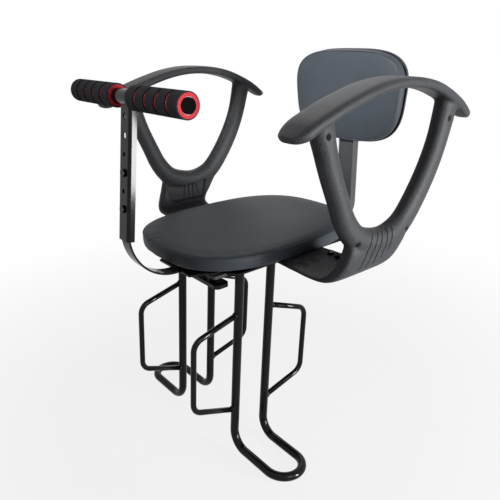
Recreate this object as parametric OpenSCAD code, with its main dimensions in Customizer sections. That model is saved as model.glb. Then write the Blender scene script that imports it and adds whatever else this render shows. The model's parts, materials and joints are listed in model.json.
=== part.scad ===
// Rear child bike seat. The rack's top face is the plane z = 0, the child faces -Y, +X is the child's left.

/* [Rack clamp] */
// Diameter of the rack's rods
rack_rod_d = 10; // [8:1:14]
// Thickness of the rubber pads on the rack
rack_pad_t = 5; // [4:0.5:8]
// Width of a rubber pad
rack_pad_w = 26; // [16:1:30]
// Half distance between the rubber pads' middles
rack_pad_x = 53; // [50:1:54]
// Diameter of the rack bolts
rack_bolt_d = 6; // [5:0.5:8]
// Half distance between a pair of rack bolts
rack_bolt_x = 30; // [26:1:32]
// Y of the front clamp bar
clamp_front_y = -104; // [-110:1:-98]
// Y of the rear clamp bar
clamp_rear_y = 104; // [96:1:110]
// Length of a clamp bar
clamp_l = 138; // [130:1:140]
// Width of a clamp bar
clamp_w = 26; // [22:1:30]
// Sheet thickness of a clamp bar
clamp_t = 3; // [2:0.5:4]

/* [Base plate] */
// Width of the base plate
plate_w = 172; // [166:1:176]
// Front end of the base plate
plate_front_y = -150; // [-155:1:-146]
// Rear end of the base plate
plate_rear_y = 160; // [155:1:165]
// Sheet thickness of the base plate
plate_t = 3; // [2:0.5:3.5]
// Corner radius of the base plate
plate_r = 18; // [8:1:24]
// Height of the rails between plate and board
rail_h = 20; // [18:0.5:24]
// Width of a rail's flange
rail_w = 22; // [18:1:24]
// Sheet thickness of a rail
rail_t = 2; // [1.5:0.5:3]
// X of a rail's upright web
rail_x = 41; // [40:1:44]

/* [Seat] */
// Width of the cushion at its edge
seat_w = 273; // [260:1:280]
// Depth of the cushion at its edge
seat_d = 350; // [336:1:356]
// Height of the cushion's side
seat_side_h = 21; // [18:1:24]
// Rise of the crown over the cushion's edge
seat_crown = 6; // [3:0.5:10]
// Squareness of the oval outline
seat_n = 2.9; // [2.4:0.1:3.4]
// How far the cushion's foot is drawn in
seat_tuck = 8; // [4:1:12]
// Thickness of the seat board
board_t = 9; // [7:0.5:10]
// How far the board lies inside the cushion's edge
board_inset = 16; // [14:1:20]

/* [Armrests] */
// Half distance between the armrests' middles
arm_x = 231.5; // [228:0.5:240]
// Width of the armrest's top
pad_w = 50; // [42:1:56]
// Thickness of the armrest's top
pad_t = 14; // [11:0.5:18]
// Thickness of the legs, across
leg_t = 26; // [22:1:30]
// Width of the front leg, seen from the side
leg_w = 29; // [25:1:33]
// Thickness of the foot flange
foot_t = 7; // [6:0.5:9]
// Diameter of the arm bolts
arm_bolt_d = 6; // [5:0.5:7]

/* [Backrest] */
// Width of the backrest
back_w = 234; // [220:1:244]
// Height of the backrest
back_h = 144; // [130:1:150]
// Height of the backrest's middle
back_z = 232; // [228:1:240]
// Y of the backrest board's rear face
back_y = 238; // [236:1:242]
// Thickness of the backrest board
back_board_t = 8; // [6:0.5:10]
// Depth of the backrest cushion
back_cushion_t = 25; // [20:1:30]
// Width of the flat bar
bar_w = 24; // [20:1:26]
// Thickness of the flat bar
bar_t = 6; // [5:0.5:6.5]
// Radius of the bar's bend, at its inside
bar_r = 26; // [22:1:34]
// Width of the sleeve
sleeve_w = 34; // [31:1:38]
// Depth of the sleeve
sleeve_d = 14; // [12:0.5:16]

/* [Handrail] */
// Height of the handlebar's middle over the rack
rail_bar_z = 263.5; // [245:0.5:285]
// Y of the handlebar's middle
rail_bar_y = -197; // [-199:0.5:-195]
// Outer diameter of the handlebar tube
tube_d = 20; // [18:0.5:22]
// Wall of the handlebar tube
tube_wall = 1.5; // [1:0.25:2.5]
// Length of the handlebar tube
tube_l = 292; // [270:1:310]
// Length of bare tube between the grips
tube_bare = 48; // [40:1:60]
// Outer diameter of a grip
grip_d = 32; // [30:0.5:36]
// Thickness of the grip's black skin
grip_skin = 1.7; // [1:0.1:2.5]
// Number of red grooves in a grip
grip_grooves = 4; // [2:1:6]
// Width of a red groove
groove_w = 4.5; // [3:0.5:6]
// Lean of the post from upright, in degrees
post_lean = 7.3; // [5:0.1:9]
// Width of the post
post_w = 28; // [26:1:34]
// Depth of the post's flanges
post_d = 11; // [9:0.5:14]
// Sheet thickness of the post
post_t = 2; // [1.5:0.5:3]
// Length of the post
post_l = 188; // [180:1:196]
// Diameter of the post's holes
post_hole_d = 9; // [7:0.5:10]
// Distance between the post's holes
post_pitch = 25; // [22:1:27]
// Width of the handrail strap
strap_w = 22; // [20:1:22]
// Thickness of the handrail strap
strap_t = 3; // [2.5:0.5:3]
// Radius of the strap's bend, at its outside
strap_r = 74; // [66:1:80]

/* [Footrests] */
// Half distance between the two hoops
hoop_x = 79; // [78:1:79]
// Diameter of the hoop's tube
hoop_d = 14; // [12:0.5:14]
// Distance between a hoop's legs
hoop_w = 62; // [56:1:68]
// Length of a hoop's legs down to the toe loop
hoop_h = 306; // [290:1:330]
// Y of the hoop's middle at the plate
hoop_y = -49; // [-55:1:-42]
// Lean of the hoop from upright, in degrees
hoop_lean = 4; // [2:0.5:6]
// Reach of the toe loop, from the legs to its end
toe_reach = 124; // [110:1:140]
// Bend radius between leg and toe loop
toe_bend_r = 28; // [24:1:34]
// Diameter of the guard rods
guard_d = 9; // [7:0.5:10]
// Reach of a guard from its leg
guard_reach = 82; // [60:1:95]
// Height of a guard where it meets the leg
guard_h = 172; // [150:1:190]
// Distance from the plate down to a guard's upper end
guard_drop = 69; // [55:1:85]
// Slope of a guard's upper and lower arm, in degrees
guard_slope = 18; // [10:1:24]

/* [Hidden] */
$fn = 48;
fit = 0.3;

plate_z = rack_pad_t;
plate_top = plate_z + plate_t;
board_z = plate_top + rail_h;
board_top = board_z + board_t;
edge_z = board_z + seat_side_h;
board_w = seat_w - 2 * board_inset;
board_d = seat_d - 2 * board_inset;
foot_mid_z = board_z - foot_t / 2;

rack_bolt_ys = [clamp_front_y, clamp_rear_y];
clamp_top = -rack_rod_d;
clamp_lip = 6;
washer_t = 1.6;
rack_nut_h = 6;
rack_bolt_end = clamp_top - clamp_t - washer_t - rack_nut_h - 4;
rack_head_t = 3.5;
rack_slot_l = 16;

// Sizes that the fasteners share
hex_flats = 10;
washer_d = 14;
bolt_d = 6;
bolt_hole_d = bolt_d + 0.4;
button_d = 11;
frame_nut_t = 5;
// Holes through plate, rail and pad that let a driver reach the board screws
driver_d = 12;
// Window in the base plate
window_w = 54;
window_l = 88;
window_y = -8;
window_r = 10;

arm_bolts = [[92, -18], [92, 26]];
flange_bolts = [[154, 36], [170, 33]];
arm_nut_t = 5;
pad_n = 4.6;

// Fan of grooves on the foot's outer and inner face: y, z of its foot and of its top
groove_lines = [
    [-2, 37, 16, 88], [12, 40, 28, 87], [26, 42, 38, 88], [41, 47, 49, 89], [53, 56, 59, 89]
];
arm_groove_w = 1.2;
groove_floor = leg_t / 2 - 1.4;
// Blind screw holes in the armrest's outer face: y, z
shell_holes = [[-75.8, 226.3], [166.4, 222.5], [-12, 79.6], [90.1, 77.7]];
shell_hole_d = 6;
shell_hole_depth = 12;
// Recessed web under the loop, on the inner face: its outline in y, z
web_outline = [[-16, 68], [14, 60], [48, 60], [66, 66], [60, 40], [-8, 40]];
web_corner_r = 4;
// Floor of the web, out from the armrest's middle
web_floor = 7;
arm_head_t = 4;
tee_flange_t = 1.5;
tee_barrel_d = 8;
tee_flange_d = 18;

rail_screw_ys = [-88, -24, 40, 118];
rail_screw_x = rail_x + rail_w / 2;
screw_d = 4;
screw_head_d = 8.5;
screw_head_t = 2.6;

strap_bolt_ys = [-128, -84];
strap_end_y = -68;
strap_z = plate_z - strap_t;
strap_cy = post_front_y(strap_z + strap_r) + (post_t + strap_r) / cos(post_lean);
strap_lap = 0.5;
strap_up = 112;
post_inner_r = 1;
strap_fit_w = min(strap_w, post_w - 2 * post_t - 2 * post_inner_r);

// The plate ends behind the strap's bend
plate_y0 = max(plate_front_y, strap_cy + 1);
tongue_w = 84;
tongue_root_y = -96;
rail_front_y = -118;
rail_rear_y = plate_rear_y - 15;
pad_rear_y = plate_rear_y - 18;

bar_line_y = back_y + bar_t / 2;
bar_front_y = 46;
bar_bolt_ys = [62, 128];
bar_head_t = 4;
bar_top_z = back_z + 42;
back_bolt_zs = [back_z - 26, back_z + 26];
sleeve_z0 = plate_top + bar_t + bar_r;
sleeve_bend = 55;
sleeve_z1 = back_z - back_h / 2 + 6;
cover_t = 2;
cover_d = 13;

guard_bend_r = 20;

// Y of the post's front face at a height
function post_front_y(z) = rail_bar_y - 2.6 - (rail_bar_z - z) * tan(post_lean);

// Signed power, for superellipse outlines
function spow(v, e) = sign(v) * pow(abs(v), e);

// Superellipse of half sizes a and b
function oval(a, b, n, steps = 56, cy = 0) =
    [for (i = [0 : steps - 1])
        let (t = 360 * i / steps)
        [a * spow(cos(t), 2 / n), cy + b * spow(sin(t), 2 / n)]];

// Backrest outline: a superellipse that widens upwards
function back_outline(a, b, steps = 56, taper = 0.07, n = 3.3) =
    [for (p = oval(a, b, n, steps)) [p[0] * (1 + taper * p[1] / b) / (1 + taper * 0.45), p[1]]];

// One Catmull-Rom value between rows b and c of a table
function blend_rows(a, b, c, d, t) =
    0.5 * ((2 * b) + (c - a) * t + (2 * a - 5 * b + 4 * c - d) * t * t + (3 * b - a - 3 * c + d) * t * t * t);

// A smooth run of rows through the rows given
function smooth_rows(rows, steps) =
    let (last = len(rows) - 1)
    [for (i = [0 : last - 1], k = [0 : steps - 1])
        blend_rows(rows[max(i - 1, 0)], rows[i], rows[i + 1], rows[min(i + 2, last)], k / steps),
     rows[last]];

// Unit vector along a row list at index i, in the plane of the first two columns
function run_dir(rows, i) =
    let (a = rows[max(i - 1, 0)], b = rows[min(i + 1, len(rows) - 1)], d = [b[0] - a[0], b[1] - a[1]])
    d / norm(d);

// Closed skin over a list of rings with the same number of points
module loft(rings) {
    n = len(rings[0]);
    last = len(rings) - 1;
    polyhedron(
        points = [for (ring = rings, p = ring) p],
        faces = concat(
            [[for (k = [n - 1 : -1 : 0]) k]],
            [[for (k = [0 : n - 1]) last * n + k]],
            [for (i = [0 : last - 1], k = [0 : n - 1])
                [i * n + k, i * n + (k + 1) % n, (i + 1) * n + (k + 1) % n, (i + 1) * n + k]]
        ),
        convexity = 6
    );
}

// Either side of the seat: +1 is the child's left, -1 the right
module on_side(side) {
    if (side > 0) children();
    else mirror([1, 0, 0]) children();
}

// Hexagon head or nut, flat to flat
module hex_prism(flats, h) {
    cylinder(d = flats / cos(30), h = h, $fn = 6);
}

// Hexagon nut with a true bore
module hex_nut(bore_d, flats, h) {
    difference() {
        hex_prism(flats, h);
        translate([0, 0, -1]) cylinder(d = bore_d, h = h + 2);
    }
}

// Slot along X
module slot(l, d, h) {
    translate([-(l - d) / 2, 0, 0]) cylinder(d = d, h = h);
    translate([(l - d) / 2, 0, 0]) cylinder(d = d, h = h);
    translate([-(l - d) / 2, -d / 2, 0]) cube([l - d, d, h]);
}

// Rectangle with round corners, from its middle
module round_rect(w, d, r) {
    square([w - 2 * r, d], center = true);
    square([w, d - 2 * r], center = true);
    for (sx = [-1, 1], sy = [-1, 1]) translate([sx * (w / 2 - r), sy * (d / 2 - r)]) circle(r);
}

module seat_cushion() {
    color("dimgray") difference() {
        hull() {
            translate([0, 0, board_z + fit]) linear_extrude(1)
                polygon(oval(seat_w / 2 - seat_tuck, seat_d / 2 - seat_tuck / 2, seat_n));
            translate([0, 0, edge_z - 2]) linear_extrude(2) polygon(oval(seat_w / 2, seat_d / 2, seat_n));
            translate([0, 0, edge_z]) linear_extrude(seat_crown * 0.6)
                polygon(oval(seat_w / 2 - 9, seat_d / 2 - 9, seat_n));
            translate([0, 0, edge_z]) linear_extrude(seat_crown)
                polygon(oval(seat_w / 2 - 40, seat_d / 2 - 44, seat_n));
        }
        translate([0, 0, board_z - 1]) linear_extrude(board_t + 1 + fit)
            polygon(oval(board_w / 2 + fit, board_d / 2 + fit, seat_n));
    }
}

module seat_board() {
    color("tan") difference() {
        translate([0, 0, board_z]) linear_extrude(board_t) polygon(oval(board_w / 2, board_d / 2, seat_n));
        for (s = [-1, 1]) {
            for (p = arm_bolts)
                translate([s * p[0], p[1], board_z - 1]) cylinder(d = tee_barrel_d, h = board_t + 2);
            for (p = arm_bolts)
                translate([s * p[0], p[1], board_top - tee_flange_t])
                    cylinder(d = tee_flange_d, h = tee_flange_t + 1);
            for (y = rail_screw_ys)
                translate([s * rail_screw_x, y, board_z - 1]) cylinder(d = screw_d, h = board_t - 1);
        }
    }
}

// Tee nuts that take the arm bolts, let in from the board's top
module board_tee_nuts() {
    color("silver") for (s = [-1, 1], p = arm_bolts)
        translate([s * p[0], p[1], 0]) difference() {
            union() {
                translate([0, 0, board_top - tee_flange_t]) cylinder(d = tee_flange_d, h = tee_flange_t);
                translate([0, 0, board_z + 0.5]) cylinder(d = tee_barrel_d, h = board_t - 0.5);
            }
            translate([0, 0, board_z]) cylinder(d = arm_bolt_d, h = board_t + 1);
        }
}

// Screws from the rails up into the board
module board_screws() {
    color("silver") for (s = [-1, 1], y = rail_screw_ys) translate([s * rail_screw_x, y, 0]) {
        translate([0, 0, board_z - rail_t]) cylinder(d = screw_d, h = rail_t + board_t - 2);
        translate([0, 0, board_z - rail_t - screw_head_t]) cylinder(d = screw_head_d, h = screw_head_t);
    }
}

module base_plate() {
    color("#1b1c1e") difference() {
        translate([0, 0, plate_z]) linear_extrude(plate_t) {
            translate([0, (tongue_root_y + plate_rear_y) / 2])
                round_rect(plate_w, plate_rear_y - tongue_root_y, plate_r);
            polygon([
                [-tongue_w / 2, plate_y0], [tongue_w / 2, plate_y0],
                [plate_w / 2 - plate_r, tongue_root_y + plate_r],
                [-plate_w / 2 + plate_r, tongue_root_y + plate_r]
            ]);
        }
        for (y = rack_bolt_ys, s = [-1, 1])
            translate([s * rack_bolt_x, y, plate_z - 1]) slot(rack_slot_l, rack_bolt_d + 0.5, plate_t + 2);
        for (y = concat(strap_bolt_ys, bar_bolt_ys))
            translate([0, y, plate_z - 1]) cylinder(d = bolt_hole_d, h = plate_t + 2);
        translate([0, window_y, plate_z - 1]) linear_extrude(plate_t + 2)
            round_rect(window_w, window_l, window_r);
        for (s = [-1, 1], y = rail_screw_ys)
            translate([s * rail_screw_x, y, plate_z - 1]) cylinder(d = driver_d, h = plate_t + 2);
    }
}

// Rail of C section, open outwards, with its lower flange welded to the plate
module rail(side) {
    l = rail_rear_y - rail_front_y;
    color("#1b1c1e") on_side(side) difference() {
        translate([rail_x, rail_rear_y, plate_top]) rotate([90, 0, 0]) linear_extrude(l) {
            square([rail_t, rail_h]);
            square([rail_w, rail_t]);
            translate([0, rail_h - rail_t]) square([rail_w, rail_t]);
        }
        for (y = rail_screw_ys) {
            translate([rail_screw_x, y, board_z - rail_t - 1]) cylinder(d = screw_d, h = rail_t + 2);
            translate([rail_screw_x, y, plate_top - 1]) cylinder(d = driver_d, h = rail_t + 2);
        }
    }
}

module rack_pad(side) {
    l = pad_rear_y - rail_front_y;
    mid_y = (rail_front_y + pad_rear_y) / 2;
    color("black") on_side(side) difference() {
        translate([rack_pad_x, mid_y, 0]) linear_extrude(rack_pad_t) round_rect(rack_pad_w, l, 5);
        for (y = rail_screw_ys) translate([rail_screw_x, y, -1]) cylinder(d = driver_d, h = rack_pad_t + 2);
    }
}

// Lower clamp bar: pressed channel with its lips down and rounded ends
module clamp_bar(y) {
    color("#1b1c1e") difference() {
        translate([0, y, clamp_top - clamp_lip]) linear_extrude(clamp_lip) round_rect(clamp_l, clamp_w, 8);
        translate([0, y, clamp_top - clamp_lip - 1]) linear_extrude(clamp_lip + 1 - clamp_t)
            round_rect(clamp_l - 2 * clamp_t, clamp_w - 2 * clamp_t, 5);
        for (s = [-1, 1])
            translate([s * rack_bolt_x, y, clamp_top - clamp_lip - 1])
                cylinder(d = rack_bolt_d + 0.5, h = clamp_lip + 2);
    }
}

// Places of the four rack bolts
module at_rack_bolts() {
    for (y = rack_bolt_ys, s = [-1, 1]) translate([s * rack_bolt_x, y, 0]) children();
}

module rack_bolts() {
    color("silver") at_rack_bolts() {
        translate([0, 0, rack_bolt_end]) cylinder(d = rack_bolt_d, h = plate_top + washer_t - rack_bolt_end);
        translate([0, 0, plate_top + washer_t]) hex_prism(hex_flats, rack_head_t);
    }
}

module rack_washers() {
    color("gainsboro") at_rack_bolts() for (z = [plate_top, clamp_top - clamp_t - washer_t])
        translate([0, 0, z]) difference() {
            cylinder(d = washer_d, h = washer_t);
            translate([0, 0, -1]) cylinder(d = rack_bolt_d + 0.4, h = washer_t + 2);
        }
}

module rack_nuts() {
    color("silver") at_rack_bolts() translate([0, 0, clamp_top - clamp_t - washer_t - rack_nut_h])
        hex_nut(rack_bolt_d, hex_flats, rack_nut_h);
}

// Loop of the armrest, seen from the side: y, z, half width, half thickness
loop_rows = [
    [-79, 246, leg_w / 2 + 2, leg_t / 2 + 1], [-61, 188, leg_w / 2, leg_t / 2],
    [-42, 143, leg_w / 2, leg_t / 2], [-26, 109, leg_w / 2 + 1.5, leg_t / 2],
    [-2, 83, leg_w / 2 + 3, leg_t / 2 + 1], [40, 71, leg_w / 2 + 3.5, leg_t / 2 + 1],
    [73, 76, leg_w / 2 + 3.5, leg_t / 2 + 1], [98, 92, leg_w / 2 + 3.5, leg_t / 2],
    [128, 130, leg_w / 2 + 3, leg_t / 2], [149, 166, leg_w / 2 + 2.5, leg_t / 2],
    [163, 201, leg_w / 2 + 2.5, leg_t / 2], [174, 244, leg_w / 2 + 4, leg_t / 2 + 1]
];

// Top of the armrest: y, z of its crown, half width, half thickness
pad_rows = [
    [-124, 231, pad_w * 0.14, pad_t * 0.2], [-122, 232, pad_w * 0.33, pad_t * 0.38],
    [-114, 238, pad_w * 0.46, pad_t / 2], [-100, 247.5, pad_w / 2, pad_t / 2],
    [-70, 260, pad_w * 0.51, pad_t / 2], [-30, 272, pad_w / 2, pad_t / 2],
    [5, 280, pad_w * 0.49, pad_t / 2], [45, 284, pad_w * 0.48, pad_t / 2],
    [90, 281.5, pad_w * 0.46, pad_t / 2], [130, 273.5, pad_w * 0.41, pad_t / 2],
    [165, 260.5, pad_w * 0.36, pad_t / 2], [195, 246, pad_w * 0.31, pad_t / 2],
    [216, 232.5, pad_w * 0.26, pad_t * 0.48], [227, 224.5, pad_w * 0.19, pad_t * 0.38],
    [230, 221, pad_w * 0.09, pad_t * 0.2]
];

// Foot of the armrest, from the loop inwards under the seat: x, z, y of its middle, half length
// and half thickness
foot_rows = [
    [arm_x, 78, 39, 59, 10], [arm_x, 68, 37, 59, leg_t / 2 - 1], [arm_x - 1, 57, 31, 57, leg_t / 2 - 1],
    [arm_x - 3, 45, 24, 56, leg_t / 2 - 2], [arm_x - 8, 35, 16, 55, leg_t / 2 - 4],
    [arm_x - 19, 27.5, 9, 53, foot_t / 2 + 2], [arm_x - 38, foot_mid_z, 6, 51.5, foot_t / 2],
    [arm_x - 70, foot_mid_z, 5, 49, foot_t / 2], [arm_x - 110, foot_mid_z, 5, 46, foot_t / 2],
    [arm_x - 152, foot_mid_z, 5, 40, foot_t / 2]
];

// Ring of the loop or of the top, in a plane that contains X
function side_ring(row, dir, n, steps) =
    [for (p = oval(row[3], row[2], n, steps))
        [arm_x + p[0], row[0] - dir[1] * p[1], row[1] + dir[0] * p[1]]];

function loop_rings(steps, sides) =
    let (rows = smooth_rows(loop_rows, steps))
    [for (i = [0 : len(rows) - 1]) side_ring(rows[i], run_dir(rows, i), 2.3, sides)];

function pad_rings(steps, sides) =
    let (rows = smooth_rows(pad_rows, steps))
    [for (i = [0 : len(rows) - 1])
        let (r = rows[i], d = run_dir(rows, i))
        [for (p = oval(r[2], r[3], pad_n, sides))
            [arm_x + p[0], r[0] - d[1] * (p[1] - r[3]), r[1] + d[0] * (p[1] - r[3])]]];

function foot_rings(steps, sides, skin = 0) =
    let (rows = smooth_rows(foot_rows, steps))
    [for (i = [0 : len(rows) - 1])
        let (r = rows[i], d = run_dir(rows, i))
        [for (p = oval(r[4] - skin, r[3], 5, sides)) [r[0] - d[1] * p[0], r[2] + p[1], r[1] + d[0] * p[0]]]];

// Thin groove along a line on the armrest's outer face
module face_groove(g) {
    run = [g[2] - g[0], g[3] - g[1]];
    translate([arm_x + groove_floor, g[0], g[1]]) rotate([-atan2(run[0], run[1]), 0, 0])
        translate([0, -arm_groove_w / 2, 0]) cube([leg_t / 2, arm_groove_w, norm(run)]);
}

// One moulding: the arched top, the loop of two legs and the foot that is bolted under the seat
module arm(side) {
    color("#2b2c2f") on_side(side) difference() {
        union() {
            loft(loop_rings(3, 16));
            loft(pad_rings(3, 20));
            loft(foot_rings(2, 28));
        }
        for (p = concat(arm_bolts, flange_bolts)) translate([p[0], p[1], board_z - foot_t - 1])
            cylinder(d = arm_bolt_d + 0.5, h = foot_t + 2);
        for (y = [-20, 2]) translate([150, y, board_z - 3]) slot(26, 12, 4);
        translate([arm_x - leg_t, 0, 0]) rotate([90, 0, 90]) linear_extrude(leg_t - web_floor)
            offset(r = web_corner_r) polygon(web_outline);
        for (g = groove_lines) face_groove(g);
        for (h = shell_holes) translate([arm_x + leg_t / 2 - shell_hole_depth, h[0], h[1]])
            rotate([0, 90, 0]) cylinder(d = shell_hole_d, h = shell_hole_depth + 10);
    }
}

module arm_bolts(side) {
    color("silver") on_side(side) {
        for (p = arm_bolts) translate([p[0], p[1], board_z - foot_t]) {
            translate([0, 0, -washer_t]) cylinder(d = washer_d, h = washer_t);
            translate([0, 0, -washer_t - arm_head_t]) hex_prism(hex_flats, arm_head_t);
            cylinder(d = arm_bolt_d, h = foot_t + board_t - 1);
        }
        for (p = flange_bolts) translate([p[0], p[1], board_z]) {
            hex_prism(hex_flats, arm_head_t);
            translate([0, 0, -foot_t - arm_nut_t - 2]) cylinder(d = arm_bolt_d, h = foot_t + arm_nut_t + 2);
            translate([0, 0, -foot_t - arm_nut_t]) hex_prism(hex_flats, arm_nut_t);
        }
    }
}

// Upright solid from a backrest outline: from y0 to y1
module back_slab(a, b, y0, y1) {
    translate([0, y1, back_z]) rotate([90, 0, 0]) linear_extrude(y1 - y0) polygon(back_outline(a, b));
}

module backrest_cushion() {
    front_y = back_y - back_cushion_t;
    color("dimgray") difference() {
        hull() {
            back_slab(back_w / 2 - 3, back_h / 2 - 3, back_y - 1, back_y);
            back_slab(back_w / 2, back_h / 2, back_y - 12, back_y - 6);
            back_slab(back_w / 2 - 9, back_h / 2 - 9, front_y + 4, front_y + 5);
            back_slab(back_w / 2 - 34, back_h / 2 - 30, front_y, front_y + 1);
        }
        back_slab(back_w / 2 - 14 + fit, back_h / 2 - 14 + fit, back_y - back_board_t - fit, back_y + 1);
    }
}

module backrest_board() {
    color("tan") difference() {
        back_slab(back_w / 2 - 14, back_h / 2 - 14, back_y - back_board_t, back_y);
        for (z = back_bolt_zs) translate([0, back_y + 1, z]) rotate([90, 0, 0]) {
            cylinder(d = tee_barrel_d, h = back_board_t + 2);
            translate([0, 0, back_board_t + 1 - tee_flange_t])
                cylinder(d = tee_flange_d, h = tee_flange_t + 1);
        }
    }
}

// Places on the backrest's bolt axes, looking forwards from the board's rear face
module at_back_bolts() {
    for (z = back_bolt_zs) translate([0, back_y, z]) rotate([90, 0, 0]) children();
}

module backrest_tee_nuts() {
    color("silver") at_back_bolts() difference() {
        union() {
            cylinder(d = tee_barrel_d, h = back_board_t);
            translate([0, 0, back_board_t - tee_flange_t]) cylinder(d = tee_flange_d, h = tee_flange_t);
        }
        translate([0, 0, -1]) cylinder(d = bolt_d, h = back_board_t + 2);
    }
}

module backrest_bolts() {
    color("silver") at_back_bolts() {
        translate([0, 0, -bar_t]) cylinder(d = bolt_d, h = bar_t + back_board_t - 1);
        translate([0, 0, -bar_t - 2.5]) cylinder(d = button_d, h = 2.5);
    }
}

// Shallow moulded dish over the board and the bar, with a mouth for the sleeve
module backrest_cover() {
    cover_in_y = back_y + cover_d - cover_t;
    color("#222326") difference() {
        union() {
            back_slab(back_w / 2 - 4, back_h / 2 - 4, back_y + fit, back_y + 5);
            hull() {
                back_slab(back_w / 2 - 6, back_h / 2 - 6, back_y + 4, back_y + 5);
                back_slab(back_w / 2 - 26, back_h / 2 - 24, back_y + cover_d - 1, back_y + cover_d);
            }
        }
        back_slab(back_w / 2 - 4 - cover_t, back_h / 2 - 4 - cover_t, back_y - 1, back_y + 4);
        hull() {
            back_slab(back_w / 2 - 9, back_h / 2 - 9, back_y + 3, back_y + 4);
            back_slab(back_w / 2 - 28, back_h / 2 - 26, cover_in_y - 1, cover_in_y);
        }
        translate([-sleeve_w / 2 - fit, back_y - 1, back_z - back_h / 2 - 1])
            cube([sleeve_w + 2 * fit, cover_d - cover_t + 1, 40]);
    }
}

// Side view of the flat bar: along the plate, round the bend and up, as a flat shape in Y and Z
module bar_side() {
    z0 = plate_top;
    bend_y = back_y - bar_r;
    translate([bar_front_y, z0]) square([bend_y - bar_front_y, bar_t]);
    translate([back_y, z0 + bar_t + bar_r]) square([bar_t, bar_top_z - z0 - bar_t - bar_r]);
    intersection() {
        translate([bend_y, z0]) square([bar_r + bar_t, bar_r + bar_t]);
        translate([bend_y, z0 + bar_t + bar_r]) difference() {
            circle(r = bar_r + bar_t, $fn = 96);
            circle(r = bar_r, $fn = 96);
        }
    }
}

// A flat shape in Y and Z, given a width along X
module side_extrude(w) {
    translate([-w / 2, 0, 0]) rotate([90, 0, 90]) linear_extrude(w) children();
}

module backrest_bar() {
    color("#17181a") difference() {
        side_extrude(bar_w) bar_side();
        for (y = bar_bolt_ys) translate([0, y, plate_top - 1]) cylinder(d = bolt_hole_d, h = bar_t + 2);
        for (z = back_bolt_zs) translate([0, back_y - 1, z]) rotate([-90, 0, 0])
            cylinder(d = bolt_hole_d, h = bar_t + 2);
    }
}

// Side view of a run of thickness t on the bar's line: upright, and round the bend by an angle
module sleeve_side(t, angle, top) {
    mid_r = bar_r + bar_t / 2;
    reach = 3 * mid_r;
    translate([bar_line_y - t / 2, sleeve_z0]) square([t, top - sleeve_z0]);
    translate([back_y - bar_r, sleeve_z0]) intersection() {
        difference() {
            circle(r = mid_r + t / 2, $fn = 96);
            circle(r = mid_r - t / 2, $fn = 96);
        }
        polygon([[0, 0], [reach, 0], [reach * cos(angle), -reach * sin(angle)]]);
    }
}

// Sleeve over the bar, cut back where it passes behind the cushion
module backrest_sleeve() {
    color("#1f2023") difference() {
        side_extrude(sleeve_w) sleeve_side(sleeve_d, sleeve_bend, sleeve_z1);
        side_extrude(bar_w + fit) sleeve_side(bar_t + fit, sleeve_bend + 5, sleeve_z1 + 2);
        translate([-sleeve_w, back_y - sleeve_d, back_z - back_h / 2 - fit])
            cube([2 * sleeve_w, sleeve_d + fit, back_h]);
    }
}

module bar_bolts() {
    color("silver") for (y = bar_bolt_ys) translate([0, y, 0]) {
        translate([0, 0, plate_top + bar_t]) hex_prism(hex_flats, bar_head_t);
        translate([0, 0, plate_z - bar_head_t]) cylinder(d = bolt_d, h = plate_t + bar_t + bar_head_t);
    }
}

module bar_nuts() {
    color("silver") for (y = bar_bolt_ys) translate([0, y, plate_z - bar_head_t])
        hex_nut(bolt_d, hex_flats, bar_head_t);
}

// The post's own frame: its Z runs up the front face, its Y points back
module on_post() {
    translate([0, post_front_y(0), 0]) rotate([-post_lean, 0, 0]) children();
}

// Height along the post of a true height
function post_s(z) = z / cos(post_lean);

// Side view of the strap: under the plate, round the bend and up inside the post
module strap_side() {
    cz = strap_z + strap_r;
    translate([strap_cy, strap_z]) square([strap_end_y - strap_cy, strap_t]);
    translate([strap_cy, cz]) rotate(-post_lean) translate([-strap_r, -strap_lap])
        square([strap_t, strap_up + strap_lap]);
    intersection() {
        translate([strap_cy, cz]) difference() {
            circle(r = strap_r, $fn = 120);
            circle(r = strap_r - strap_t, $fn = 120);
        }
        translate([strap_cy, cz]) polygon([
            [0, 0], [0, -2 * strap_r], [-2 * strap_r, -2 * strap_r],
            [-2 * strap_r, 2 * strap_r * tan(post_lean)]
        ]);
    }
}

post_hole_s = post_s(rail_bar_z) - 24;
post_bolt_s = [post_hole_s - 3 * post_pitch, post_hole_s - 5 * post_pitch];

module handrail_strap() {
    color("#17181a") difference() {
        side_extrude(strap_fit_w) strap_side();
        for (y = strap_bolt_ys) translate([0, y, strap_z - 1]) cylinder(d = bolt_hole_d, h = strap_t + 2);
        on_post() for (s = post_bolt_s) translate([0, -5, s]) rotate([-90, 0, 0])
            cylinder(d = bolt_hole_d, h = 20);
    }
}

// U-channel with rounded edges, its web in front, coped to the handlebar tube
module handrail_post() {
    top_s = post_s(rail_bar_z);
    color("#121315") difference() {
        on_post() difference() {
            translate([0, post_d / 2, top_s - 6 - post_l]) linear_extrude(post_l) difference() {
                union() {
                    round_rect(post_w, post_d, 4);
                    translate([-post_w / 2, 0]) square([post_w, post_d / 2]);
                }
                union() {
                    round_rect(post_w - 2 * post_t, post_d - 2 * post_t, post_inner_r);
                    translate([-post_w / 2 + post_t, 0]) square([post_w - 2 * post_t, post_d]);
                }
            }
            for (i = [0 : 5]) translate([0, -5, post_hole_s - i * post_pitch]) rotate([-90, 0, 0])
                cylinder(d = i < 2 ? post_hole_d : bolt_hole_d, h = 12);
        }
        translate([-post_w, rail_bar_y, rail_bar_z]) rotate([0, 90, 0])
            cylinder(d = tube_d, h = 2 * post_w);
    }
}

// Places on the post's bolt axes, looking back from the front face
module at_post_bolts() {
    on_post() for (s = post_bolt_s) translate([0, 0, s]) rotate([-90, 0, 0]) children();
}

module post_bolts() {
    color("silver") at_post_bolts() {
        translate([0, 0, -3]) cylinder(d = button_d, h = 3);
        cylinder(d = bolt_d, h = 13);
    }
}

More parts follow.
